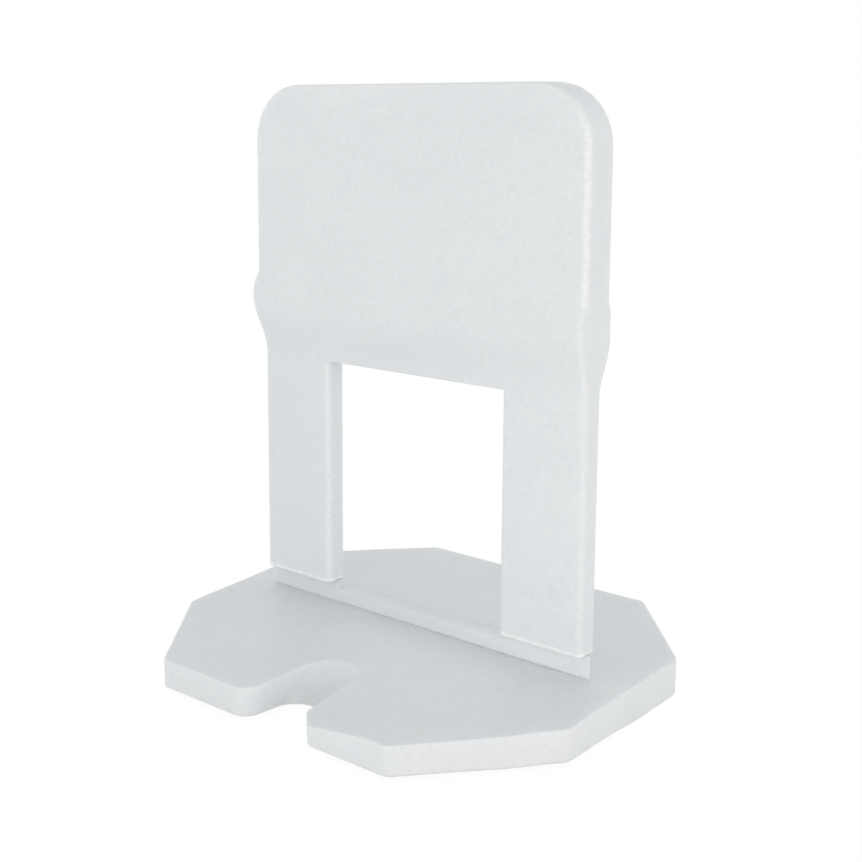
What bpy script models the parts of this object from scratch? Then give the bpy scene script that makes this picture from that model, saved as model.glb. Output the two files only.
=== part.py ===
"""Tile levelling clip, a single injection moulding in white polypropylene.

The base plate goes under two tiles, the legs stand in the joint between them, and a wedge is
driven through the window over the tiles. When the adhesive is hard, the legs snap off the base
at the thin strip that they stand on.

Frame: +Z up, Z = 0 on the underside of the base, X along the joint, and the notched edge of the
base faces -Y. Metres.
"""

import math

import bmesh
import bpy
from mathutils import Vector

# Base plate: an octagon that is longer along the joint
BASE_LENGTH = 0.0322
BASE_WIDTH = 0.0286
BASE_THICKNESS = 0.0023
CHAMFER_ALONG = 0.00685
CHAMFER_ACROSS = 0.0080
BASE_CORNER_RADIUS = 0.0008
BASE_TOP_FILLET = 0.0002
BASE_BOTTOM_FILLET = 0.0005

# Round-ended notch in the front edge, with a sloping inner end
NOTCH_WIDTH = 0.0034
NOTCH_DEPTH = 0.00715
NOTCH_END_SLOPE = 0.00315
NOTCH_MOUTH_RADIUS = 0.0013

# Legs, whose thickness is the width of the tile joint
JOINT_WIDTH = 0.0015
LEGS_WIDTH = 0.0264
FOOT_HEIGHT = 0.00405

# Break-off strip, flush with the back of the legs and a little wider than they are
STRIP_THICKNESS = 0.0007
STRIP_WIDTH = 0.0270
STRIP_TOP = 0.0034

# Window for the wedge
WINDOW_WIDTH = 0.0145
WINDOW_TOP = 0.0198
WINDOW_CORNER_RADIUS = 0.0003

# Head, thicker than the legs
HEAD_WIDTH = 0.0267
HEAD_THICKNESS = 0.00264
HEAD_TOP = 0.03845
HEAD_CORNER_RADIUS = 0.0038
TAPER_HEIGHT = 0.0038

# Rounded ears at both sides, where the head begins
EAR_REACH = 0.00125
EAR_BOTTOM = 0.0200
EAR_CREST = 0.0236
EAR_TOP = 0.0258
EAR_ROUNDING = 0.0016
EAR_CREST_OFFSET = 0.0005

# Small radius on the outer edges of the legs and head
EDGE_RADIUS = 0.00022

# Depth to which the strip is sunk in the base and in the feet before they are joined
ROOT_DEPTH = 0.0004

# Steps in the curved parts
CORNER_STEPS = 5
TAPER_STEPS = 26
HEAD_CORNER_STEPS = 14
EDGE_STEPS = 3

# Points closer than this are one point
SAME_POINT = 1e-6

COLLECTION_NAME = "tile_levelling_clip"
CUTTER_COLLECTION_NAME = "tile_levelling_clip_cutters"


def clear_scene():
    """Remove every object of the scene that the script starts in."""
    for scene_object in list(bpy.data.objects):
        bpy.data.objects.remove(scene_object, do_unlink=True)


def new_collection(name):
    collection = bpy.data.collections.new(name)
    bpy.context.scene.collection.children.link(collection)
    return collection


def object_from(mesh_builder, name, collection):
    """Turn a bmesh into an object whose faces point outwards."""
    bmesh.ops.recalc_face_normals(mesh_builder, faces=mesh_builder.faces)
    mesh = bpy.data.meshes.new(name)
    mesh_builder.to_mesh(mesh)
    mesh_builder.free()
    new_object = bpy.data.objects.new(name, mesh)
    collection.objects.link(new_object)
    return new_object


def white_polypropylene():
    """Natural white polypropylene with a finely eroded, matt surface."""
    material = bpy.data.materials.new("white_polypropylene")
    material.use_nodes = True
    shader = material.node_tree.nodes["Principled BSDF"]
    shader.inputs["Base Color"].default_value = (0.78, 0.82, 0.83, 1.0)
    shader.inputs["Roughness"].default_value = 0.48
    shader.inputs["Metallic"].default_value = 0.0
    shader.inputs["IOR"].default_value = 1.49
    return material


def smooth_step(value, start, end):
    """Rise from 0 at start to 1 at end along half a cosine wave."""
    share = min(max((value - start) / (end - start), 0.0), 1.0)
    return 0.5 - 0.5 * math.cos(math.pi * share)


def rounded_outline(corners, steps):
    """Points of a closed outline whose corners (x, y, radius) are replaced by arcs."""
    points = []
    count = len(corners)
    for index, (x, y, radius) in enumerate(corners):
        corner = Vector((x, y))
        before = (Vector(corners[index - 1][:2]) - corner).normalized()
        after = (Vector(corners[(index + 1) % count][:2]) - corner).normalized()
        half_angle = before.angle(after) / 2
        centre = corner + (before + after).normalized() * radius / math.sin(half_angle)
        first = corner + before * radius / math.tan(half_angle) - centre
        turn = first.angle_signed(corner + after * radius / math.tan(half_angle) - centre)
        for step in range(steps + 1):
            angle = -turn * step / steps
            arm = Vector((
                first.x * math.cos(angle) - first.y * math.sin(angle),
                first.x * math.sin(angle) + first.y * math.cos(angle),
            ))
            point = centre + arm
            if not points or (point - points[-1]).length > SAME_POINT:
                points.append(point)
    return points


def base_corners():
    """Corners of the plate seen from above, from the left side of the notch round to it again."""
    half_length = BASE_LENGTH / 2
    half_width = BASE_WIDTH / 2
    chamfer_x = half_length - CHAMFER_ALONG
    chamfer_y = half_width - CHAMFER_ACROSS
    notch_side = NOTCH_WIDTH / 2
    notch_end = NOTCH_DEPTH - half_width
    return [
        (-notch_side, -half_width, NOTCH_MOUTH_RADIUS),
        (-notch_side, notch_end, notch_side),
        (notch_side, notch_end, notch_side),
        (notch_side, -half_width, NOTCH_MOUTH_RADIUS),
        (chamfer_x, -half_width, BASE_CORNER_RADIUS),
        (half_length, -chamfer_y, BASE_CORNER_RADIUS),
        (half_length, chamfer_y, BASE_CORNER_RADIUS),
        (chamfer_x, half_width, BASE_CORNER_RADIUS),
        (-chamfer_x, half_width, BASE_CORNER_RADIUS),
        (-half_length, chamfer_y, BASE_CORNER_RADIUS),
        (-half_length, -chamfer_y, BASE_CORNER_RADIUS),
        (-chamfer_x, -half_width, BASE_CORNER_RADIUS),
    ]


def bevel_rim(mesh_builder, height, radius, segments):
    """Round the rim of the plate that lies at the given height."""
    rim = [
        edge for edge in mesh_builder.edges
        if all(abs(vertex.co.z - height) < SAME_POINT for vertex in edge.verts)
    ]
    bmesh.ops.bevel(
        mesh_builder, geom=rim, offset=radius, offset_type="OFFSET",
        segments=segments, profile=0.5, affect="EDGES", material=-1,
    )


def make_base(collection):
    """Octagonal plate with the notch in its outline."""
    mesh_builder = bmesh.new()
    outline = rounded_outline(base_corners(), CORNER_STEPS)
    top = [mesh_builder.verts.new((point.x, point.y, BASE_THICKNESS)) for point in outline]
    top_face = mesh_builder.faces.new(top)
    extruded = bmesh.ops.extrude_face_region(mesh_builder, geom=[top_face], use_keep_orig=True)
    underside = [item for item in extruded["geom"] if isinstance(item, bmesh.types.BMVert)]
    bmesh.ops.translate(mesh_builder, verts=underside, vec=(0, 0, -BASE_THICKNESS))

    # The notch's round end slopes outwards on its way down
    notch_side = NOTCH_WIDTH / 2
    notch_end = NOTCH_DEPTH - BASE_WIDTH / 2
    round_end = [
        vertex for vertex in underside
        if abs(vertex.co.x) <= notch_side + SAME_POINT
        and notch_end - notch_side - SAME_POINT <= vertex.co.y <= notch_end + SAME_POINT
    ]
    bmesh.ops.translate(mesh_builder, verts=round_end, vec=(0, -NOTCH_END_SLOPE, 0))
    bmesh.ops.recalc_face_normals(mesh_builder, faces=mesh_builder.faces)
    bevel_rim(mesh_builder, 0.0, BASE_BOTTOM_FILLET, 3)
    bevel_rim(mesh_builder, BASE_THICKNESS, BASE_TOP_FILLET, 2)
    return object_from(mesh_builder, "base_plate", collection)


def ear_share(height):
    """How far out the ear stands at a height: 0 on the leg or head, 1 at its crest."""
    if height < EAR_CREST:
        return smooth_step(height, EAR_BOTTOM, EAR_CREST)
    return 1.0 - smooth_step(height, EAR_CREST, EAR_TOP)


def fallen_back(beyond, radius):
    """How far a rounded edge has fallen back at a distance beyond the start of its arc."""
    beyond = min(max(beyond, 0.0), radius)
    return radius - math.sqrt(radius ** 2 - beyond ** 2)


def section_sizes(height):
    """Half width of the upright at a height, and how far its front and back lie from Y = 0."""
    taper = smooth_step(height, WINDOW_TOP, WINDOW_TOP + TAPER_HEIGHT)
    half_thickness = (JOINT_WIDTH + (HEAD_THICKNESS - JOINT_WIDTH) * taper) / 2
    half_width = (LEGS_WIDTH + (HEAD_WIDTH - LEGS_WIDTH) * taper) / 2
    half_width -= fallen_back(height - (HEAD_TOP - HEAD_CORNER_RADIUS), HEAD_CORNER_RADIUS)
    half_thickness -= fallen_back(height - (HEAD_TOP - EDGE_RADIUS), EDGE_RADIUS)
    front = half_thickness - fallen_back(FOOT_HEIGHT + EDGE_RADIUS - height, EDGE_RADIUS)
    return half_width + EAR_REACH * ear_share(height), front, half_thickness


def section_outline(height):
    """Horizontal section of the upright: a flat bar whose ends turn round in the ears."""
    half_width, front, back = section_sizes(height)
    share = ear_share(height)
    along = EDGE_RADIUS + (EAR_ROUNDING - EDGE_RADIUS) * share
    points = []
    for side_x, side_y in ((1, -1), (1, 1), (-1, 1), (-1, -1)):
        face = front if side_y < 0 else back
        to_crest = face + side_y * EAR_CREST_OFFSET
        across = EDGE_RADIUS + (to_crest - EDGE_RADIUS) * share
        for step in range(CORNER_STEPS + 1):
            turn = math.pi / 2 * step / CORNER_STEPS
            if side_x * side_y > 0:
                turn = math.pi / 2 - turn
            points.append((
                side_x * (half_width - along + along * math.sin(turn)),
                side_y * (face - across + across * math.cos(turn)),
            ))
    return points


def section_heights():
    """Heights of the sections, close together where the form turns."""
    curved_bottom = min(WINDOW_TOP, EAR_BOTTOM)
    curved_top = max(WINDOW_TOP + TAPER_HEIGHT, EAR_TOP)
    heights = []
    for step in range(EDGE_STEPS + 1):
        fall = EDGE_RADIUS * math.sin(math.pi / 2 * step / EDGE_STEPS)
        heights.append(FOOT_HEIGHT + EDGE_RADIUS - fall)
    for step in range(TAPER_STEPS + 1):
        heights.append(curved_bottom + (curved_top - curved_bottom) * step / TAPER_STEPS)
    for step in range(HEAD_CORNER_STEPS + 1):
        rise = HEAD_CORNER_RADIUS * math.sin(math.pi / 2 * step / HEAD_CORNER_STEPS)
        heights.append(HEAD_TOP - HEAD_CORNER_RADIUS + rise)
    for step in range(EDGE_STEPS):
        rise = EDGE_RADIUS * math.sin(math.pi / 2 * step / EDGE_STEPS)
        heights.append(HEAD_TOP - EDGE_RADIUS + rise)
    return sorted(set(round(height, 7) for height in heights))


def make_upright(collection):
    """Legs and head as one bar, lofted upwards through its horizontal sections."""
    mesh_builder = bmesh.new()
    rings = []
    for height in section_heights():
        ring = [mesh_builder.verts.new((x, y, height)) for x, y in section_outline(height)]
        rings.append(ring)
    count = len(rings[0])
    for lower, upper in zip(rings, rings[1:]):
        for index in range(count):
            after = (index + 1) % count
            mesh_builder.faces.new((lower[index], lower[after], upper[after], upper[index]))
    mesh_builder.faces.new(rings[0])
    mesh_builder.faces.new(rings[-1])
    return object_from(mesh_builder, "upright", collection)


def make_block(name, low, high, collection):
    """Plain block between two corners."""
    mesh_builder = bmesh.new()
    bmesh.ops.create_cube(mesh_builder, size=1.0)
    size = Vector(high) - Vector(low)
    centre = (Vector(high) + Vector(low)) / 2
    bmesh.ops.scale(mesh_builder, verts=mesh_builder.verts, vec=size)
    bmesh.ops.translate(mesh_builder, verts=mesh_builder.verts, vec=centre)
    return object_from(mesh_builder, name, collection)


def mark_as_cutter(cutter):
    cutter.hide_render = True
    cutter.display_type = "WIRE"


def make_window_cutter(collection):
    """Block for the window, from the strip's top to the head, with small corner radii."""
    half = WINDOW_WIDTH / 2
    reach = HEAD_THICKNESS
    cutter = make_block(
        "window_cutter", (-half, -reach, STRIP_TOP), (half, reach, WINDOW_TOP), collection,
    )
    mesh_builder = bmesh.new()
    mesh_builder.from_mesh(cutter.data)
    corner_edges = [
        edge for edge in mesh_builder.edges
        if abs(edge.verts[0].co.y - edge.verts[1].co.y) > reach
        and edge.verts[0].co.z > (STRIP_TOP + WINDOW_TOP) / 2
    ]
    bmesh.ops.bevel(
        mesh_builder, geom=corner_edges, offset=WINDOW_CORNER_RADIUS, offset_type="OFFSET",
        segments=3, profile=0.5, affect="EDGES", material=-1,
    )
    mesh_builder.to_mesh(cutter.data)
    mesh_builder.free()
    mark_as_cutter(cutter)
    return cutter


def make_strip(collection):
    """Thin strip that joins the feet to the base and runs across under the window."""
    half = STRIP_WIDTH / 2
    back = JOINT_WIDTH / 2
    low = (-half, back - STRIP_THICKNESS, BASE_THICKNESS - ROOT_DEPTH)
    high = (half, back, FOOT_HEIGHT + ROOT_DEPTH)
    strip = make_block("break_off_strip", low, high, collection)
    mark_as_cutter(strip)
    return strip


def add_boolean(target, tool, operation):
    modifier = target.modifiers.new(operation.lower() + "_" + tool.name, "BOOLEAN")
    modifier.operation = operation
    modifier.solver = "EXACT"
    modifier.object = tool


def main():
    clear_scene()
    parts = new_collection(COLLECTION_NAME)
    cutters = new_collection(CUTTER_COLLECTION_NAME)

    clip = make_upright(parts)
    clip.name = "levelling_clip"
    clip.data.name = "levelling_clip"
    add_boolean(clip, make_strip(cutters), "UNION")
    add_boolean(clip, make_window_cutter(cutters), "DIFFERENCE")
    base = make_base(cutters)
    mark_as_cutter(base)
    add_boolean(clip, base, "UNION")

    clip.data.materials.append(white_polypropylene())
    clip.data.shade_smooth()
    clip.data.set_sharp_from_angle(angle=math.radians(30))


main()
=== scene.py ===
import math

import bmesh
import bpy
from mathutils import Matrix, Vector


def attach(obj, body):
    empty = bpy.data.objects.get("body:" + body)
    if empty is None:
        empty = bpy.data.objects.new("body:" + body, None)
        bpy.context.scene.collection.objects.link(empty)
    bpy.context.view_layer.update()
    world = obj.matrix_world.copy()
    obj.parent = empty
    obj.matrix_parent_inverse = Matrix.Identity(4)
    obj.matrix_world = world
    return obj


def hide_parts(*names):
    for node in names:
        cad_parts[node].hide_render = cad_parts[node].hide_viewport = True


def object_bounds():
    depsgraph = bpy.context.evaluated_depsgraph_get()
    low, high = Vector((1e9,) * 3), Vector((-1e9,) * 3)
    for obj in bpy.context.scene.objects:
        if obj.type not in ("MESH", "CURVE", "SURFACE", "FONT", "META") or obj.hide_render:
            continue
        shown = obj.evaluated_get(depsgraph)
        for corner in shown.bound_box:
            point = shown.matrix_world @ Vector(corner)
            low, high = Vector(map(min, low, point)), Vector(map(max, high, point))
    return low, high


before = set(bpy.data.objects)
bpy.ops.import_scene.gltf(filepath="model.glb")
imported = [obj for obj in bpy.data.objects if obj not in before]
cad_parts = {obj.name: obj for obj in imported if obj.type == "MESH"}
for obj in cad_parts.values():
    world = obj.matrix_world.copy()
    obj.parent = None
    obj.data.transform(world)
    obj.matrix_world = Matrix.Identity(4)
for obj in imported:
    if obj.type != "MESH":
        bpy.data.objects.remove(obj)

MM = 0.001
cad_low, cad_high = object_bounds()

# Camera
# A long lens a little above the clip, turned towards its right side, as a shop photograph
# is taken. The small shift keeps the clip where the picture has it.
FRAME_PIXELS = 862
FOCAL_PIXELS = 1347.6
CENTRE_PIXELS = (375.2, 323.5)
SENSOR_WIDTH = 36.0
CAMERA_PLACE = (0.05388, -0.06776, 0.03697)
CAMERA_TURN = math.radians(40.32)
CAMERA_DIP = math.radians(9.12)
CAMERA_NEAR = 1 * MM
CAMERA_FAR = 10.0

camera = bpy.data.cameras.new("camera")
camera.sensor_width = SENSOR_WIDTH
camera.lens = FOCAL_PIXELS / FRAME_PIXELS * SENSOR_WIDTH
camera.shift_x = (FRAME_PIXELS / 2 - CENTRE_PIXELS[0]) / FRAME_PIXELS
camera.shift_y = (CENTRE_PIXELS[1] - FRAME_PIXELS / 2) / FRAME_PIXELS
camera.clip_start = CAMERA_NEAR
camera.clip_end = CAMERA_FAR
camera_object = bpy.data.objects.new("camera", camera)
camera_object.location = CAMERA_PLACE
camera_object.rotation_euler = (math.pi / 2 - CAMERA_DIP, 0.0, CAMERA_TURN)
bpy.context.scene.collection.objects.link(camera_object)
bpy.context.scene.camera = camera_object
bpy.context.scene.view_settings.view_transform = "Standard"


# Floor and studio light
# White paper that the camera sees as plain white round a faint shadow, and over it a sky that is
# brightest near the horizon, one large soft light by the camera and a small low one at the right.
FLOOR_SIZE = 1.6
FLOOR_GAP = 0.02 * MM
FLOOR_GREY = "F4F5F5"
FLOOR_SHADOW_SHARE = 0.10
FLOOR_WHITE = 1.04
SKY_AT_HORIZON = (1.480, 1.446, 1.452, 1.0)
SKY_OVERHEAD = (0.380, 0.390, 0.391, 1.0)
KEY_PLACE = Vector((0.070, -0.135, 0.030))
KEY_SIZE = 0.080
KEY_LIGHT = (1.22, 1.18, 1.10)
SIDE_PLACE = Vector((0.045, -0.030, 0.008))
SIDE_SIZE = 0.016
SIDE_LIGHT = (2.10, 1.60, 1.60)
LIGHTS_AIM = Vector((0.0, 0.0, 18 * MM))


def linear(hex_colour):
    """Linear RGBA of an sRGB hex colour."""
    channels = []
    for start in (0, 2, 4):
        value = int(hex_colour[start:start + 2], 16) / 255
        channels.append(value / 12.92 if value <= 0.04045 else ((value + 0.055) / 1.055) ** 2.4)
    return (*channels, 1.0)


def add_node(tree, kind, settings=None, values=None, links=None):
    """Add a node, set its properties and inputs, and link sockets into its inputs."""
    node = tree.nodes.new(kind)
    for name, value in (settings or {}).items():
        setattr(node, name, value)
    for name, value in (values or {}).items():
        node.inputs[name].default_value = value
    for name, socket in (links or {}).items():
        tree.links.new(socket, node.inputs[name])
    return node


def looks_directly(tree):
    """1 for rays from the camera, from gloss and through clear things, else 0."""
    path = add_node(tree, "ShaderNodeLightPath")
    seen_or_mirrored = add_node(
        tree, "ShaderNodeMath", {"operation": "MAXIMUM"},
        links={0: path.outputs["Is Camera Ray"], 1: path.outputs["Is Glossy Ray"]},
    )
    any_of_them = add_node(
        tree, "ShaderNodeMath", {"operation": "MAXIMUM"},
        links={0: seen_or_mirrored.outputs[0], 1: path.outputs["Is Transmission Ray"]},
    )
    return any_of_them.outputs[0]


def studio_sky():
    """White to the camera and in reflections, a soft sky gradient as light."""
    world = bpy.data.worlds.new("studio_sky")
    world.use_nodes = True
    tree = world.node_tree
    tree.nodes.clear()
    place = add_node(tree, "ShaderNodeTexCoord")
    height = add_node(tree, "ShaderNodeSeparateXYZ", links={"Vector": place.outputs["Generated"]})
    gradient = add_node(
        tree, "ShaderNodeMix", {"data_type": "RGBA"},
        values={6: SKY_AT_HORIZON, 7: SKY_OVERHEAD}, links={0: height.outputs["Z"]},
    )
    lighting = add_node(
        tree, "ShaderNodeBackground", values={"Strength": 1.0}, links={"Color": gradient.outputs[2]})
    seen = add_node(
        tree, "ShaderNodeBackground", values={"Strength": 1.0, "Color": (1.0, 1.0, 1.0, 1.0)})
    mixed = add_node(
        tree, "ShaderNodeMixShader",
        links={0: looks_directly(tree), 1: lighting.outputs[0], 2: seen.outputs[0]},
    )
    add_node(tree, "ShaderNodeOutputWorld", links={"Surface": mixed.outputs[0]})
    bpy.context.scene.world = world


def white_paper():
    """Matt white paper: it lights the clip as paper does and looks white round a faint shadow."""
    material = bpy.data.materials.new("white_paper")
    material.use_nodes = True
    tree = material.node_tree
    tree.nodes.clear()
    paper = add_node(tree, "ShaderNodeBsdfDiffuse", values={"Color": linear(FLOOR_GREY)})
    white = add_node(tree, "ShaderNodeEmission", values={"Strength": FLOOR_WHITE})
    shadowed = add_node(
        tree, "ShaderNodeMixShader", values={0: FLOOR_SHADOW_SHARE},
        links={1: white.outputs[0], 2: paper.outputs[0]},
    )
    surface = add_node(
        tree, "ShaderNodeMixShader",
        links={0: looks_directly(tree), 1: paper.outputs[0], 2: shadowed.outputs[0]},
    )
    add_node(tree, "ShaderNodeOutputMaterial", links={"Surface": surface.outputs[0]})
    return material


floor_shape = bmesh.new()
bmesh.ops.create_grid(floor_shape, x_segments=1, y_segments=1, size=FLOOR_SIZE / 2)
bmesh.ops.translate(floor_shape, verts=floor_shape.verts, vec=(0.0, 0.0, cad_low[2] - FLOOR_GAP))
floor_mesh = bpy.data.meshes.new("floor")
floor_shape.to_mesh(floor_mesh)
floor_shape.free()
floor_mesh.materials.append(white_paper())
floor = bpy.data.objects.new("floor", floor_mesh)
bpy.context.scene.collection.objects.link(floor)
studio_sky()


def soft_light(name, place, size, radiance):
    """A round light of one radiance per colour, turned to the middle of the clip."""
    light = bpy.data.lights.new(name, "AREA")
    light.shape = "DISK"
    light.size = size
    light.color = [channel / radiance[0] for channel in radiance]
    light.energy = radiance[0] * math.pi * math.pi * (size / 2) ** 2
    light_object = bpy.data.objects.new(name, light)
    light_object.location = place
    light_object.visible_camera = False
    from_clip = place - LIGHTS_AIM
    light_object.rotation_euler = from_clip.to_track_quat("Z", "Y").to_euler()
    bpy.context.scene.collection.objects.link(light_object)


soft_light("key_light", KEY_PLACE, KEY_SIZE, KEY_LIGHT)
soft_light("side_light", SIDE_PLACE, SIDE_SIZE, SIDE_LIGHT)


# Legs and head of the clip
# Injection-moulded polypropylene, 1.5 mm thick in the legs and 2.6 mm in the head. Each leg is a
# rounded bar pulled upwards ring by ring, and the head goes on from both of them. The front edges
# are round and the back ones nearly sharp.
LEG_OUTER = 13.28 * MM
LEG_INNER = 7.2 * MM
LEG_HALF_THICKNESS = 0.75 * MM
FOOT_HEIGHT = 3.93 * MM
FOOT_RADIUS = 0.07 * MM
WINDOW_TOP = 19.8 * MM
HEAD_HALF_WIDTH = 13.43 * MM
HEAD_HALF_THICKNESS = 1.32 * MM
HEAD_TOP = cad_high[2]
HEAD_CORNER = 3.8 * MM
TAPER_HEIGHT = 3.8 * MM
FRONT_EDGE = 0.40 * MM
BACK_EDGE = 0.10 * MM
TOP_EDGE = 0.24 * MM
EAR_BOTTOM = 19.9 * MM
EAR_CREST = 24.1 * MM
EAR_TOP = 25.6 * MM
EAR_REACH = 0.60 * MM
LEFT_EAR_REACH = 0.82 * MM
EAR_CUT = 0.36 * MM
EAR_BACK_EDGE = 0.60 * MM
ROUND_STEPS = 8
FOOT_STEPS = 5
FOOT_HIGHLIGHT_STEPS = 3
LEG_STEPS = 12
EAR_RISE_STEPS = 30
EAR_FALL_STEPS = 18
ABOVE_EAR = 0.1 * MM
HEAD_SIDE_STEPS = 6
HEAD_CORNER_STEPS = 26
TOP_EDGE_STEPS = 5
SAME_POINT = 1e-6
# Painted highlight: a lighter colour on front edges that face the lights and on each foot's front
# bottom edge.
FOOT_HIGHLIGHT_FULL = 0.16 * MM
FOOT_HIGHLIGHT_ENDS = 0.32 * MM
HIGHLIGHT_ON_LEG = 0.02
HIGHLIGHT_IN_WINDOW = 0.28
HIGHLIGHT_ON_HEAD = 0.45
EAR_WITHOUT_HIGHLIGHT = 0.3


def smooth_step(value, start, end):
    """Rise from 0 at start to 1 at end along half a cosine wave."""
    share = min(max((value - start) / (end - start), 0.0), 1.0)
    return 0.5 - 0.5 * math.cos(math.pi * share)


def fallen_back(beyond, radius):
    """How far a rounded edge has fallen back at a distance beyond the start of its arc."""
    beyond = min(max(beyond, 0.0), radius)
    return radius - math.sqrt(radius ** 2 - beyond ** 2)


def rounded_outline(corners):
    """Points (x, y, share of painted highlight) of a closed outline whose corners become arcs.

    A corner is (x, y, radius, painted highlight at the middle of its arc).
    """
    points = []
    for index, (x, y, radius, painted_highlight) in enumerate(corners):
        corner = Vector((x, y))
        before = (Vector(corners[index - 1][:2]) - corner).normalized()
        after = (Vector(corners[(index + 1) % len(corners)][:2]) - corner).normalized()
        half_angle = before.angle(after) / 2
        reach = radius / math.tan(half_angle)
        centre = corner + (before + after).normalized() * radius / math.sin(half_angle)
        first = corner + before * reach - centre
        turn = -first.angle_signed(corner + after * reach - centre)
        for step in range(ROUND_STEPS + 1):
            share = step / ROUND_STEPS
            point = centre + Vector((
                first.x * math.cos(turn * share) - first.y * math.sin(turn * share),
                first.x * math.sin(turn * share) + first.y * math.cos(turn * share),
            ))
            points.append((point.x, point.y, painted_highlight * math.sin(math.pi * share)))
    return points


def ear_share(height):
    """0 on the plain side of a leg or the head, 1 at the crest of an ear."""
    if height < EAR_CREST:
        return smooth_step(height, EAR_BOTTOM, EAR_CREST)
    return math.cos(math.pi / 2 * min((height - EAR_CREST) / (EAR_TOP - EAR_CREST), 1.0))


def side_and_faces(height):
    """Half width at a height, and how far the front and back lie from the middle plane."""
    taper = smooth_step(height, WINDOW_TOP, WINDOW_TOP + TAPER_HEIGHT)
    side = LEG_OUTER + (HEAD_HALF_WIDTH - LEG_OUTER) * taper
    side -= fallen_back(height - (HEAD_TOP - HEAD_CORNER), HEAD_CORNER)
    back = LEG_HALF_THICKNESS + (HEAD_HALF_THICKNESS - LEG_HALF_THICKNESS) * taper
    back -= fallen_back(height - (HEAD_TOP - TOP_EDGE), TOP_EDGE)
    foot = fallen_back(FOOT_HEIGHT + FOOT_RADIUS - height, FOOT_RADIUS)
    return side - foot, back - foot, back


def outer_corners(height):
    """Corners of a section at its right and at its left end; each ear leans the same way round."""
    side, front, back = side_and_faces(height)
    share = ear_share(height)
    # Painted highlight on the front right edge only, which faces the lights; less on the ears, none on
    # the top corners.
    plain = 1.0 - smooth_step(share, 0.0, EAR_WITHOUT_HIGHLIGHT)
    plain -= smooth_step(height, HEAD_TOP - HEAD_CORNER, HEAD_TOP)
    on_head = smooth_step(height, WINDOW_TOP, EAR_TOP)
    white = max(plain, 0.0) * (HIGHLIGHT_ON_LEG + (HIGHLIGHT_ON_HEAD - HIGHLIGHT_ON_LEG) * on_head)
    back_edge = BACK_EDGE + (EAR_BACK_EDGE - BACK_EDGE) * share
    leading = side + EAR_REACH * share
    trailing = side - EAR_CUT * share
    right = [(trailing, -front, FRONT_EDGE, white), (leading, back, back_edge, 0.0)]
    left_leading = side + LEFT_EAR_REACH * share
    left = [(-trailing, back, back_edge, 0.0), (-left_leading, -front, FRONT_EDGE, 0.0)]
    return right, left


def leg_section(height, side):
    """Section of one leg, anticlockwise, from the front of its outer or inner end."""
    front, back = side_and_faces(height)[1:]
    right, left = outer_corners(height)
    inner = LEG_INNER + fallen_back(FOOT_HEIGHT + FOOT_RADIUS - height, FOOT_RADIUS)
    # The left leg's inner front edge faces the lights and gets painted highlight too.
    if side > 0:
        corners = right + [(inner, back, BACK_EDGE, 0.0), (inner, -front, FRONT_EDGE, 0.0)]
    else:
        corners = [(-inner, -front, FRONT_EDGE, HIGHLIGHT_IN_WINDOW), (-inner, back, BACK_EDGE, 0.0)] + left
    # Painted highlight along the bottom front edge of the foot.
    foot_highlight = 1.0 - smooth_step(height, FOOT_HEIGHT + FOOT_HIGHLIGHT_FULL, FOOT_HEIGHT + FOOT_HIGHLIGHT_ENDS)
    return [(x, y, max(white, foot_highlight)) for x, y, white in rounded_outline(corners)]


def head_section(height):
    """Section of the head, with a point in line with each face of a leg beside the window."""
    front, back = side_and_faces(height)[1:]
    right, left = outer_corners(height)
    around = rounded_outline(right + left)
    middle = len(around) // 2
    inner_front = LEG_INNER + FRONT_EDGE
    inner_back = LEG_INNER + BACK_EDGE
    behind = [(inner_back, back, 0.0), (-inner_back, back, 0.0)]
    before = [(-inner_front, -front, 0.0), (inner_front, -front, 0.0)]
    return around[:middle] + behind + around[middle:] + before


def even_heights(start, end, count):
    """Evenly spaced heights after the start, up to the end."""
    return [start + (end - start) * step / count for step in range(1, count + 1)]


def arc_heights(start, end, count):
    """Heights that close up towards the end, where a round edge turns inwards."""
    quarter = math.pi / 2
    return [start + (end - start) * math.sin(quarter * step / count) for step in range(1, count + 1)]


def place_ring(ring, points, height, painted_highlight):
    """Put a ring of vertices at the points of a section, with their share of painted highlight."""
    for vertex, (x, y, white) in zip(ring, points):
        vertex.co = (x, y, height)
        vertex[painted_highlight] = white


def raise_ring(shape, ring, points, height, painted_highlight):
    """Extrude a closed ring of vertices to the next section and return the new ring."""
    edges = [shape.edges.get((ring[index - 1], ring[index])) for index in range(len(ring))]
    raised = bmesh.ops.extrude_edge_only(shape, edges=edges)
    new_vertices = {item for item in raised["geom"] if isinstance(item, bmesh.types.BMVert)}
    new_ring = []
    for vertex in ring:
        neighbours = [edge.other_vert(vertex) for edge in vertex.link_edges]
        new_ring.append(next(other for other in neighbours if other in new_vertices))
    place_ring(new_ring, points, height, painted_highlight)
    return new_ring


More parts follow.
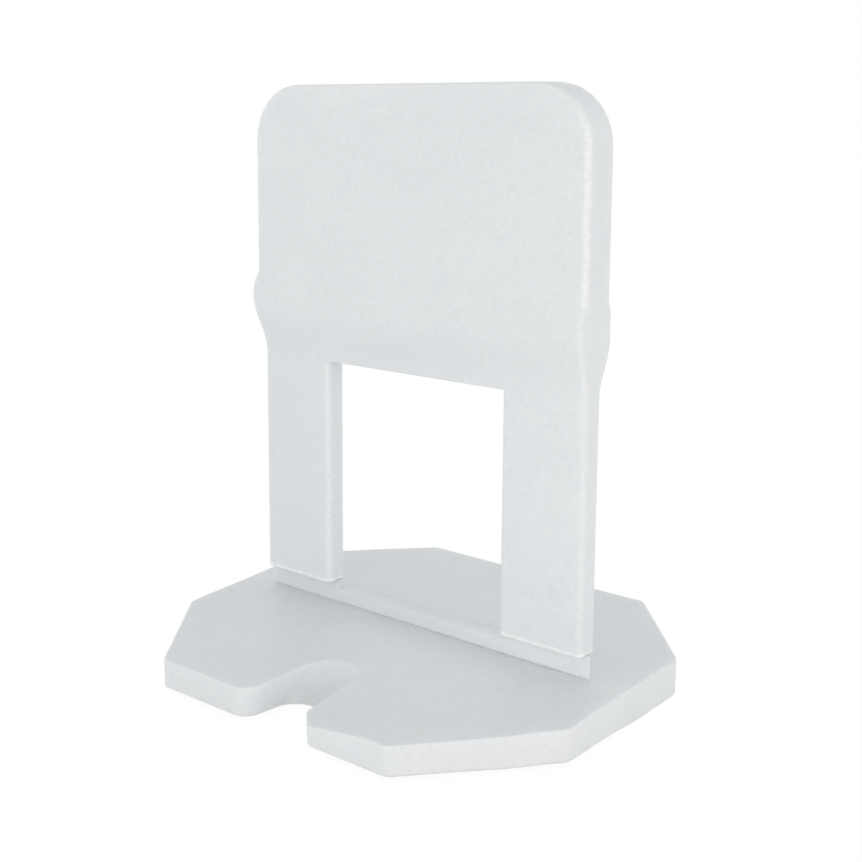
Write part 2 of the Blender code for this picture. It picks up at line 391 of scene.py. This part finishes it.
def make_legs_and_head():
    """Two legs from the feet to the window's top, then one head above them."""
    shape = bmesh.new()
    # Each vertex carries its share of painted highlight.
    painted_highlight = shape.verts.layers.float.new("painted_highlight")
    foot_top = FOOT_HEIGHT + FOOT_RADIUS
    leg_heights = sorted(foot_top - fall for fall in arc_heights(0.0, FOOT_RADIUS, FOOT_STEPS))
    leg_heights += even_heights(foot_top, FOOT_HEIGHT + FOOT_HIGHLIGHT_ENDS, FOOT_HIGHLIGHT_STEPS)
    leg_heights += even_heights(leg_heights[-1], WINDOW_TOP, LEG_STEPS)
    tops = {}
    for side in (1, -1):
        points = leg_section(leg_heights[0], side)
        ring = [shape.verts.new((x, y, leg_heights[0])) for x, y, white in points]
        place_ring(ring, points, leg_heights[0], painted_highlight)
        for index in range(len(ring)):
            shape.edges.new((ring[index - 1], ring[index]))
        bmesh.ops.contextual_create(shape, geom=ring)
        for height in leg_heights[1:]:
            ring = raise_ring(shape, ring, leg_section(height, side), height, painted_highlight)
        tops[side] = ring

    half = len(tops[1]) // 2
    right_outer, right_inner = tops[1][:half], tops[1][half:]
    left_inner, left_outer = tops[-1][:half], tops[-1][half:]
    shape.edges.new((right_inner[0], left_inner[-1]))
    shape.edges.new((left_inner[0], right_inner[-1]))
    bmesh.ops.contextual_create(shape, geom=right_inner + left_inner)

    ring = right_outer + [right_inner[0], left_inner[-1]]
    ring += left_outer + [left_inner[0], right_inner[-1]]
    heights = even_heights(WINDOW_TOP, EAR_CREST, EAR_RISE_STEPS)
    heights += even_heights(EAR_CREST, EAR_TOP + ABOVE_EAR, EAR_FALL_STEPS)
    heights += even_heights(heights[-1], HEAD_TOP - HEAD_CORNER, HEAD_SIDE_STEPS)
    heights += arc_heights(HEAD_TOP - HEAD_CORNER, HEAD_TOP, HEAD_CORNER_STEPS)
    heights = [height for height in heights if height < HEAD_TOP - TOP_EDGE]
    heights.append(HEAD_TOP - TOP_EDGE)
    heights += arc_heights(HEAD_TOP - TOP_EDGE, HEAD_TOP, TOP_EDGE_STEPS)
    for height in heights:
        ring = raise_ring(shape, ring, head_section(height), height, painted_highlight)
    bmesh.ops.contextual_create(shape, geom=ring)
    bmesh.ops.recalc_face_normals(shape, faces=shape.faces)
    return shape


# Base plate of the clip
# The part that stays under the tiles: a 2.3 mm octagonal plate with a round-ended notch. Its
# outline is filled and pulled down and its rims are rounded. The moulding has shrunk a little,
# most of all in the lobe at the right of the notch, which sinks towards the notch's mouth.
BASE_HALF_LENGTH = cad_high[0]
BASE_HALF_WIDTH = cad_high[1]
BASE_THICKNESS = 2.3 * MM
CHAMFER_ALONG = 6.85 * MM
CHAMFER_ACROSS = 8.0 * MM
LEFT_CORNER_IN = 0.66 * MM
PLATE_CORNER = 0.8 * MM
NOTCH_LEFT = -1.5 * MM
NOTCH_RIGHT = 1.9 * MM
NOTCH_DEPTH = 7.15 * MM
NOTCH_END = NOTCH_DEPTH - BASE_HALF_WIDTH
NOTCH_ROUND = 1.6 * MM
ROUND_END_REACH = 1.1 * NOTCH_ROUND
NOTCH_END_SLOPE = 3.15 * MM
MOUTH_FLARE = 0.25 * MM
MOUTH_ROUND_LEFT = 1.2 * MM
MOUTH_CUT_RIGHT = 1.45 * MM
MOUTH_ROUND_RIGHT = 0.7 * MM
TOP_FILLET = 0.12 * MM
TOP_FILLET_STEPS = 3
BOTTOM_FILLET = 0.24 * MM
BOTTOM_FILLET_STEPS = 6
# Places in millimetres where the plate is cut across, so that it can bend there
X_CUTS = (-12.4, -10.2, -8.0, -5.6, -3.2, 0.3, 3.3, 4.6, 6.0, 7.6, 9.8, 11.4, 13.2, 14.8)
Y_CUTS = (-12.9, -11.6, -10.2, -8.8, -7.4, -6.0, -4.4, -2.6, -0.9, 1.6, 3.8, 6.0)
SNAP = 0.09 * MM
LOBE_SINK = 0.70 * MM
FRONT_SINK = 0.13 * MM
BACK_RISE = 0.20 * MM
FRONT_LIFT = 0.25 * MM
LEFT_RISE = 0.12 * MM
SIDE_RISE = 0.14 * MM
SIDE_LIFT = 0.24 * MM
# Stretches of the plate over which each of these sinks and rises comes in
FRONT_SINK_Y = (0.0, 13 * MM)
LOBE_SINK_X = (NOTCH_RIGHT, 8.5 * MM)
LOBE_SINK_Y = (6.5 * MM, BASE_HALF_WIDTH)
BACK_RISE_X = (7 * MM, BASE_HALF_LENGTH)
BACK_RISE_Y = (-6 * MM, 7 * MM)
LEFT_RISE_X = (8 * MM, 14 * MM)
LEFT_RISE_Y = (-1 * MM, 5 * MM)
SIDE_X = (12 * MM, BASE_HALF_LENGTH)
SIDE_MIDDLE_Y = -4.5 * MM
SIDE_Y = (2 * MM, 6 * MM)
FRONT_LIFT_X = (-12 * MM, -8 * MM)
FRONT_LIFT_Y = (4 * MM, 12 * MM)


def plate_corners():
    """Corners of the plate from above, anticlockwise, with the notch at the front."""
    chamfer_x = BASE_HALF_LENGTH - CHAMFER_ALONG
    chamfer_y = BASE_HALF_WIDTH - CHAMFER_ACROSS
    return [
        (NOTCH_RIGHT, NOTCH_END, NOTCH_ROUND, 0.0),
        (NOTCH_RIGHT, MOUTH_CUT_RIGHT - BASE_HALF_WIDTH, MOUTH_ROUND_RIGHT, 0.0),
        (NOTCH_RIGHT + MOUTH_CUT_RIGHT, -BASE_HALF_WIDTH, MOUTH_ROUND_RIGHT, 0.0),
        (chamfer_x, -BASE_HALF_WIDTH, PLATE_CORNER, 0.0),
        (BASE_HALF_LENGTH, -chamfer_y, PLATE_CORNER, 0.0),
        (BASE_HALF_LENGTH, chamfer_y, PLATE_CORNER, 0.0),
        (chamfer_x, BASE_HALF_WIDTH, PLATE_CORNER, 0.0),
        (-chamfer_x, BASE_HALF_WIDTH, PLATE_CORNER, 0.0),
        (-BASE_HALF_LENGTH, chamfer_y, PLATE_CORNER, 0.0),
        (LEFT_CORNER_IN - BASE_HALF_LENGTH, -chamfer_y, PLATE_CORNER, 0.0),
        (-chamfer_x, -BASE_HALF_WIDTH, PLATE_CORNER, 0.0),
        (NOTCH_LEFT - MOUTH_FLARE, -BASE_HALF_WIDTH, MOUTH_ROUND_LEFT, 0.0),
        (NOTCH_LEFT, NOTCH_END, NOTCH_ROUND, 0.0),
    ]


def round_rim(shape, height, radius, segments):
    """Round the rim of the plate that lies at one height."""
    rim = [
        edge for edge in shape.edges
        if all(abs(vertex.co.z - height) < SAME_POINT for vertex in edge.verts)
    ]
    bmesh.ops.bevel(
        shape, geom=rim, offset=radius, offset_type="OFFSET", segments=segments,
        profile=0.5, affect="EDGES", material=-1,
    )


def cut_across(shape, place, normal, snap):
    """Cut every face that a plane crosses, so that the shape can bend or move there."""
    everything = list(shape.verts) + list(shape.edges) + list(shape.faces)
    bmesh.ops.bisect_plane(
        shape, geom=everything, dist=snap, plane_co=place, plane_no=normal)


def shrunk(place):
    """Where a point of the plate lies once the moulding has cooled."""
    x, y, z = place
    front = smooth_step(-y, *FRONT_SINK_Y)
    beside_notch = 1.0 - smooth_step(x, *LOBE_SINK_X) if x > 0 else 0.0
    mouth = smooth_step(-y, *LOBE_SINK_Y)
    back_right = smooth_step(x, *BACK_RISE_X) * smooth_step(y, *BACK_RISE_Y)
    back_left = smooth_step(-x, *LEFT_RISE_X) * smooth_step(y, *LEFT_RISE_Y)
    side = smooth_step(x, *SIDE_X) * (1.0 - smooth_step(abs(y - SIDE_MIDDLE_Y), *SIDE_Y))
    top = BACK_RISE * back_right + LEFT_RISE * back_left + SIDE_RISE * side
    top -= FRONT_SINK * front + LOBE_SINK * beside_notch * mouth
    bottom = FRONT_LIFT * smooth_step(-y, *FRONT_LIFT_Y) * smooth_step(x, *FRONT_LIFT_X)
    bottom += SIDE_LIFT * side
    share = z / BASE_THICKNESS
    return Vector((x, y, z + top * share + bottom * (1.0 - share)))


def make_plate():
    """Octagonal plate with the notch, its rims rounded, then warped by the shrinkage."""
    shape = bmesh.new()
    rim = [shape.verts.new((x, y, BASE_THICKNESS)) for x, y, white in rounded_outline(plate_corners())]
    pulled = bmesh.ops.extrude_face_region(shape, geom=[shape.faces.new(rim)], use_keep_orig=True)
    underside = [item for item in pulled["geom"] if isinstance(item, bmesh.types.BMVert)]
    bmesh.ops.translate(shape, verts=underside, vec=(0, 0, -BASE_THICKNESS))
    sloping = [
        vertex for vertex in underside
        if NOTCH_LEFT - MOUTH_FLARE < vertex.co.x < NOTCH_RIGHT + MOUTH_FLARE
        and NOTCH_END - ROUND_END_REACH < vertex.co.y < NOTCH_END + SAME_POINT
    ]
    bmesh.ops.translate(shape, verts=sloping, vec=(0, -NOTCH_END_SLOPE, 0))
    bmesh.ops.recalc_face_normals(shape, faces=shape.faces)
    round_rim(shape, 0.0, BOTTOM_FILLET, BOTTOM_FILLET_STEPS)
    round_rim(shape, BASE_THICKNESS, TOP_FILLET, TOP_FILLET_STEPS)
    for axis, cuts in ((Vector((1, 0, 0)), X_CUTS), (Vector((0, 1, 0)), Y_CUTS)):
        for cut in cuts:
            cut_across(shape, axis * cut * MM, axis, SNAP)
    for vertex in shape.verts:
        vertex.co = shrunk(vertex.co)
    return shape


# Break-off strip
# A web just under 0.7 mm thick that joins the feet to the plate and snaps when the legs are kicked
# off. Its front view is filled and pushed back; the back leans in and a small groove runs along
# the front, deepest at the left end and gone at the right, so it is thinnest where it breaks.
STRIP_HALF_WIDTH = 13.5 * MM
STRIP_THICKNESS = 0.7 * MM
BACK_STEP = 0.06 * MM
STRIP_TOP = 3.35 * MM
STRIP_ROOT = 0.5 * MM
NECK_GAP = 0.03 * MM
NECK_INSET = 0.5 * MM
BREAK_LEAN = 0.30 * MM
END_CUT = 0.40 * MM
GROOVE_TOP = 0.17 * MM
GROOVE_DEPTH = 0.26 * MM


def make_strip():
    """Strip up to its top edge in the window, with a taller stretch under each foot."""
    shape = bmesh.new()
    root = BASE_THICKNESS - STRIP_ROOT
    shoulder = FOOT_HEIGHT - NECK_GAP
    neck_top = FOOT_HEIGHT + STRIP_ROOT
    right = [
        (STRIP_HALF_WIDTH, root),
        (STRIP_HALF_WIDTH, shoulder),
        (STRIP_HALF_WIDTH - NECK_INSET, shoulder),
        (STRIP_HALF_WIDTH - NECK_INSET, neck_top),
        (LEG_INNER + NECK_INSET, neck_top),
        (LEG_INNER + NECK_INSET, shoulder),
        (LEG_INNER, shoulder),
        (LEG_INNER, STRIP_TOP),
    ]
    outline = right + [(-x, z) for x, z in reversed(right)]
    front = LEG_HALF_THICKNESS - STRIP_THICKNESS
    face = shape.faces.new([shape.verts.new((x, front, z)) for x, z in outline])
    pushed = bmesh.ops.extrude_face_region(shape, geom=[face], use_keep_orig=True)
    behind = [item for item in pushed["geom"] if isinstance(item, bmesh.types.BMVert)]
    bmesh.ops.translate(shape, verts=behind, vec=(0, STRIP_THICKNESS - BACK_STEP, 0))
    for vertex in behind:
        if vertex.co.z < root + SAME_POINT:
            vertex.co.y -= BREAK_LEAN
        if abs(vertex.co.x) > STRIP_HALF_WIDTH - SAME_POINT:
            vertex.co.x -= math.copysign(END_CUT, vertex.co.x)
    for height in (BASE_THICKNESS + GROOVE_TOP, BASE_THICKNESS):
        cut_across(shape, (0, 0, height), (0, 0, 1), SAME_POINT)
    for vertex in shape.verts:
        if vertex.co.z < BASE_THICKNESS + SAME_POINT and vertex.co.y < front + SAME_POINT:
            vertex.co.y += GROOVE_DEPTH * (0.5 - vertex.co.x / (2 * STRIP_HALF_WIDTH))
    bmesh.ops.recalc_face_normals(shape, faces=shape.faces)
    return shape


# The clip as one moulding
# Natural polypropylene flows through the whole mould at once, so the three forms are united
# into one surface. It is shaded smooth, with its flat faces kept flat and crisp.
CRISP_ANGLE = math.radians(40)
LEVEL = 0.97
# Share of painted shade on the legs, fading out up the taper; the strip gets all of it.
LEG_PAINTED_SHADE = 0.35


def object_from(shape, name):
    """Put a finished shape in the scene as an object at the origin."""
    mesh = bpy.data.meshes.new(name)
    shape.to_mesh(mesh)
    shape.free()
    new_object = bpy.data.objects.new(name, mesh)
    bpy.context.scene.collection.objects.link(new_object)
    return new_object


def unite(target, others):
    """Join the others to the target as one surface and remove them."""
    for other in others:
        join = target.modifiers.new("join", "BOOLEAN")
        join.operation = "UNION"
        join.solver = "EXACT"
        join.object = other
    graph = bpy.context.evaluated_depsgraph_get()
    joined = bpy.data.meshes.new_from_object(target.evaluated_get(graph))
    target.modifiers.clear()
    target.data = joined
    for other in others:
        bpy.data.objects.remove(other, do_unlink=True)


def mark_edges(mesh):
    """Make corners sharp, and also the line where a level face meets one that is not level."""
    shape = bmesh.new()
    shape.from_mesh(mesh)
    for edge in shape.edges:
        level_faces = sum(abs(face.normal.z) > LEVEL for face in edge.link_faces)
        edge.smooth = edge.calc_face_angle(0.0) < CRISP_ANGLE and level_faces != 1
    shape.to_mesh(mesh)
    shape.free()


def mark_painted_light(mesh):
    """Keep the painted highlight to legs and head, and give each face its share of painted shade."""
    for vertex, white in zip(mesh.vertices, mesh.attributes["painted_highlight"].data):
        if vertex.co.z < FOOT_HEIGHT - SAME_POINT:
            white.value = 0.0
    painted_shade = mesh.attributes.new("painted_shade", "FLOAT", "FACE")
    for face, shade_weight in zip(mesh.polygons, painted_shade.data):
        height = face.center.z
        if height > FOOT_HEIGHT - SAME_POINT:
            taper = smooth_step(height, WINDOW_TOP, WINDOW_TOP + TAPER_HEIGHT)
            shade_weight.value = LEG_PAINTED_SHADE * (1.0 - taper)
        elif height > BASE_THICKNESS + BACK_RISE + SAME_POINT:
            shade_weight.value = 1.0


clip = object_from(make_legs_and_head(), "moulded_clip")
unite(clip, [object_from(make_strip(), "strip"), object_from(make_plate(), "plate")])
clip.data.shade_smooth()
mark_edges(clip.data)
mark_painted_light(clip.data)
flat_faces = clip.modifiers.new("flat_faces_stay_flat", "WEIGHTED_NORMAL")
flat_faces.mode = "FACE_AREA"
flat_faces.keep_sharp = True


# White polypropylene
# A spark-eroded mould leaves a fine matt grain, drawn coarser here than it is so that it shows.
# The plastic lets a little light through and looks cool and milky. A painted highlight whitens the
# edges that face the lights, and painted shade greys the strip and legs, fading out towards the right.
PLASTIC_LIGHT = "EDF1F2"
PLASTIC_DEEP = "D9DEE0"
GRAIN_SHARE = 0.65
# Painted shade: grey painted on the strip and legs, strongest at the left and gone towards the right.
PAINTED_SHADE_GREY = "DADFE1"
PAINTED_SHADE_FROM = 9 * MM
PAINTED_SHADE_TO = 1 * MM
PAINTED_HIGHLIGHT_WHITE = "F8FAFA"
GRAIN = 0.30 * MM
GRAIN_DEPTH = 0.045 * MM
CLOUD = 5.0 * MM
MILKY_REACH = 0.9 * MM
MILKINESS = 0.35
CLOUD_DETAIL = 2.0
GRAIN_DETAIL = 3.0
GRAIN_ROUGHNESS = 0.6
GRAIN_BAND = (0.40, 0.60)
HIGHLIGHT_STRENGTH = (0.45, 1.35)
PLASTIC_ROUGHNESS = 0.42
PLASTIC_IOR = 1.49


def white_polypropylene():
    """Milky white plastic with a fine matt grain, a painted edge highlight and a painted grey shade."""
    material = bpy.data.materials.new("natural_white_polypropylene")
    material.use_nodes = True
    tree = material.node_tree
    shader = tree.nodes["Principled BSDF"]
    place = add_node(tree, "ShaderNodeTexCoord").outputs["Object"]
    cloud = add_node(
        tree, "ShaderNodeTexNoise", values={"Scale": 1 / CLOUD, "Detail": CLOUD_DETAIL},
        links={"Vector": place},
    )
    grain = add_node(
        tree, "ShaderNodeTexNoise",
        values={"Scale": 1 / GRAIN, "Detail": GRAIN_DETAIL, "Roughness": GRAIN_ROUGHNESS},
        links={"Vector": place},
    )
    tone = add_node(
        tree, "ShaderNodeMix", {"data_type": "FLOAT"}, values={0: GRAIN_SHARE},
        links={2: cloud.outputs["Fac"], 3: grain.outputs["Fac"]},
    )
    body = add_node(
        tree, "ShaderNodeMix", {"data_type": "RGBA"},
        values={6: linear(PLASTIC_DEEP), 7: linear(PLASTIC_LIGHT)}, links={0: tone.outputs[0]},
    )
    across = add_node(tree, "ShaderNodeSeparateXYZ", links={"Vector": place})
    # Painted shade on the strip and legs, as a grey mixed into the body colour.
    away_from_light = add_node(
        tree, "ShaderNodeMapRange", values={"From Min": PAINTED_SHADE_FROM, "From Max": PAINTED_SHADE_TO},
        links={"Value": across.outputs["X"]},
    )
    shade_weight = add_node(tree, "ShaderNodeAttribute", {"attribute_name": "painted_shade"})
    painted_shade_share = add_node(
        tree, "ShaderNodeMath", {"operation": "MULTIPLY"},
        links={0: shade_weight.outputs["Fac"], 1: away_from_light.outputs["Result"]},
    )
    shaded_body = add_node(
        tree, "ShaderNodeMix", {"data_type": "RGBA"},
        values={7: linear(PAINTED_SHADE_GREY)}, links={0: painted_shade_share.outputs[0], 6: body.outputs[2]},
    )
    # Painted highlight: edges marked on the mesh get a whiter colour, broken up by the grain.
    edge = add_node(tree, "ShaderNodeAttribute", {"attribute_name": "painted_highlight"})
    sparkle = add_node(
        tree, "ShaderNodeMapRange",
        values={
            "From Min": GRAIN_BAND[0], "From Max": GRAIN_BAND[1],
            "To Min": HIGHLIGHT_STRENGTH[0], "To Max": HIGHLIGHT_STRENGTH[1],
        },
        links={"Value": grain.outputs["Fac"]},
    )
    broken_highlight = add_node(
        tree, "ShaderNodeMath", {"operation": "MULTIPLY"},
        links={0: edge.outputs["Fac"], 1: sparkle.outputs["Result"]},
    )
    colour = add_node(
        tree, "ShaderNodeMix", {"data_type": "RGBA"},
        values={7: linear(PAINTED_HIGHLIGHT_WHITE)}, links={0: broken_highlight.outputs[0], 6: shaded_body.outputs[2]},
    )
    relief = add_node(
        tree, "ShaderNodeBump", values={"Strength": 1.0, "Distance": GRAIN_DEPTH},
        links={"Height": grain.outputs["Fac"]},
    )
    tree.links.new(colour.outputs[2], shader.inputs["Base Color"])
    tree.links.new(relief.outputs["Normal"], shader.inputs["Normal"])
    shader.inputs["Roughness"].default_value = PLASTIC_ROUGHNESS
    shader.inputs["IOR"].default_value = PLASTIC_IOR
    shader.inputs["Subsurface Weight"].default_value = MILKINESS
    shader.inputs["Subsurface Radius"].default_value = (1.0, 1.0, 1.0)
    shader.inputs["Subsurface Scale"].default_value = MILKY_REACH
    return material


clip.data.materials.clear()
clip.data.materials.append(white_polypropylene())
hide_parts("levelling_clip")
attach(clip, "root")
